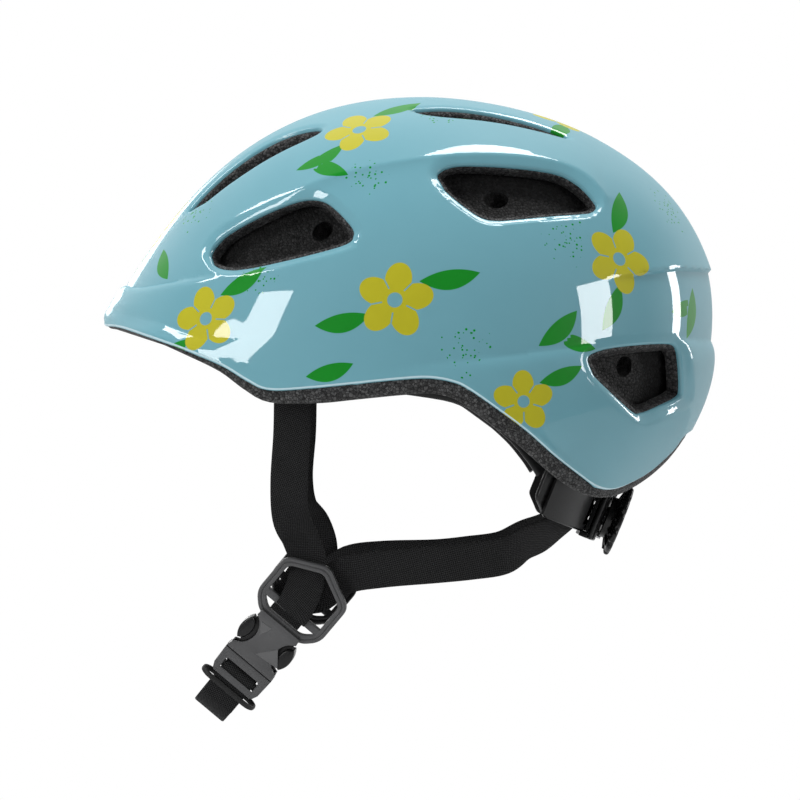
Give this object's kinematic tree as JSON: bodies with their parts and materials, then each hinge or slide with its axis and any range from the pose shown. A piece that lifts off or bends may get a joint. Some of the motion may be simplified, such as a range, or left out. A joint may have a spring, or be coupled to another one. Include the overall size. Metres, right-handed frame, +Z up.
{
  "type": "children's bicycle helmet",
  "caption": "Child's bicycle helmet with a visor-like brim, foam liner, side vents, dial-adjusted head band and webbing chin straps with a squeeze buckle.",
  "frame": {"origin": "on the centre plane of the head, level with the flat part of the rim above the ears, 133.5 mm behind the tip of the brim; the point that the wearer's head is held by", "axes": "+Z up through the crown; -Y forwards over the brim, +Y to the nape dial; +X to the wearer's left, the side that carries the squeeze buckle"},
  "size_m": [0.1908, 0.245, 0.2535],
  "materials": {
    "shell_plastic": "gloss",
    "foam": "fine grained matt",
    "pad_fabric": "matt knit",
    "black_plastic": "satin",
    "hook_plastic": "matt",
    "steel": "satin",
    "webbing": "woven",
    "grey_plastic": "satin",
    "cord_rubber": "matt"
  },
  "bodies": {
    "helmet": {"outer_shell": "shell_plastic", "foam_liner": "foam", "front_pad": "pad_fabric", "crown_pad": "pad_fabric", "left_pad": "pad_fabric", "right_pad": "pad_fabric", "nape_pad": "pad_fabric", "hook_dots": "hook_plastic", "head_band": "black_plastic", "band_pins": "black_plastic", "rear_cradle": "black_plastic", "cradle_pin": "black_plastic", "dial_cover": "black_plastic", "click_spring": "steel", "strap_front_left": "webbing", "strap_front_right": "webbing", "strap_rear_left": "webbing", "strap_rear_right": "webbing", "strap_anchors": "black_plastic", "strap_rivets": "black_plastic", "chin_strap": "webbing", "buckle_socket": "grey_plastic", "buckle_plug": "grey_plastic", "chin_divider": "black_plastic"},
    "dial": {"drive_pinion": "black_plastic", "dial_knob": "black_plastic", "dial_screw": "steel"},
    "strip_left": {"rack_left": "black_plastic"},
    "strip_right": {"rack_right": "black_plastic"},
    "prong_front": {"prong_front": "grey_plastic"},
    "prong_rear": {"prong_rear": "grey_plastic"},
    "keeper": {"keeper_ring": "cord_rubber"}
  },
  "joints": [
    {"name": "dial_turn", "type": "hinge", "parent": "helmet", "child": "dial", "pos_m": [0, 0.0015, -0.0199], "axis": [0, -0.9272, 0.3746], "range_deg": [-75, 175]},
    {"name": "strip_left_travel", "type": "hinge", "parent": "helmet", "child": "strip_left", "pos_m": [0, 0.0015, -0.0199], "axis": [0, 0.3746, 0.9272], "range_deg": [-5.6, 13]},
    {"name": "strip_right_travel", "type": "hinge", "parent": "helmet", "child": "strip_right", "pos_m": [0, 0.0015, -0.0199], "axis": [0, 0.3746, 0.9272], "range_deg": [-12.7, 5.5]},
    {"name": "prong_front_squeeze", "type": "hinge", "parent": "helmet", "child": "prong_front", "pos_m": [0.03877, -0.08094, -0.10128], "axis": [-0.9781, 0.1336, 0.1593], "range_deg": [0, 6], "stiffness_Nm_per_rad": 0.4},
    {"name": "prong_rear_squeeze", "type": "hinge", "parent": "helmet", "child": "prong_rear", "pos_m": [0.03877, -0.07022, -0.11027], "axis": [0.9781, -0.1336, -0.1593], "range_deg": [0, 6], "stiffness_Nm_per_rad": 0.4},
    {"name": "keeper_slide", "type": "slide", "parent": "helmet", "child": "keeper", "axis": [-0.2079, -0.6287, -0.7493], "range_m": [-0.002, 0.004]}
  ],
  "couplings": [
    {"joint": "strip_left_travel", "follows": "dial_turn", "ratio": 0.074019},
    {"joint": "strip_right_travel", "follows": "dial_turn", "ratio": -0.07215}
  ]
}
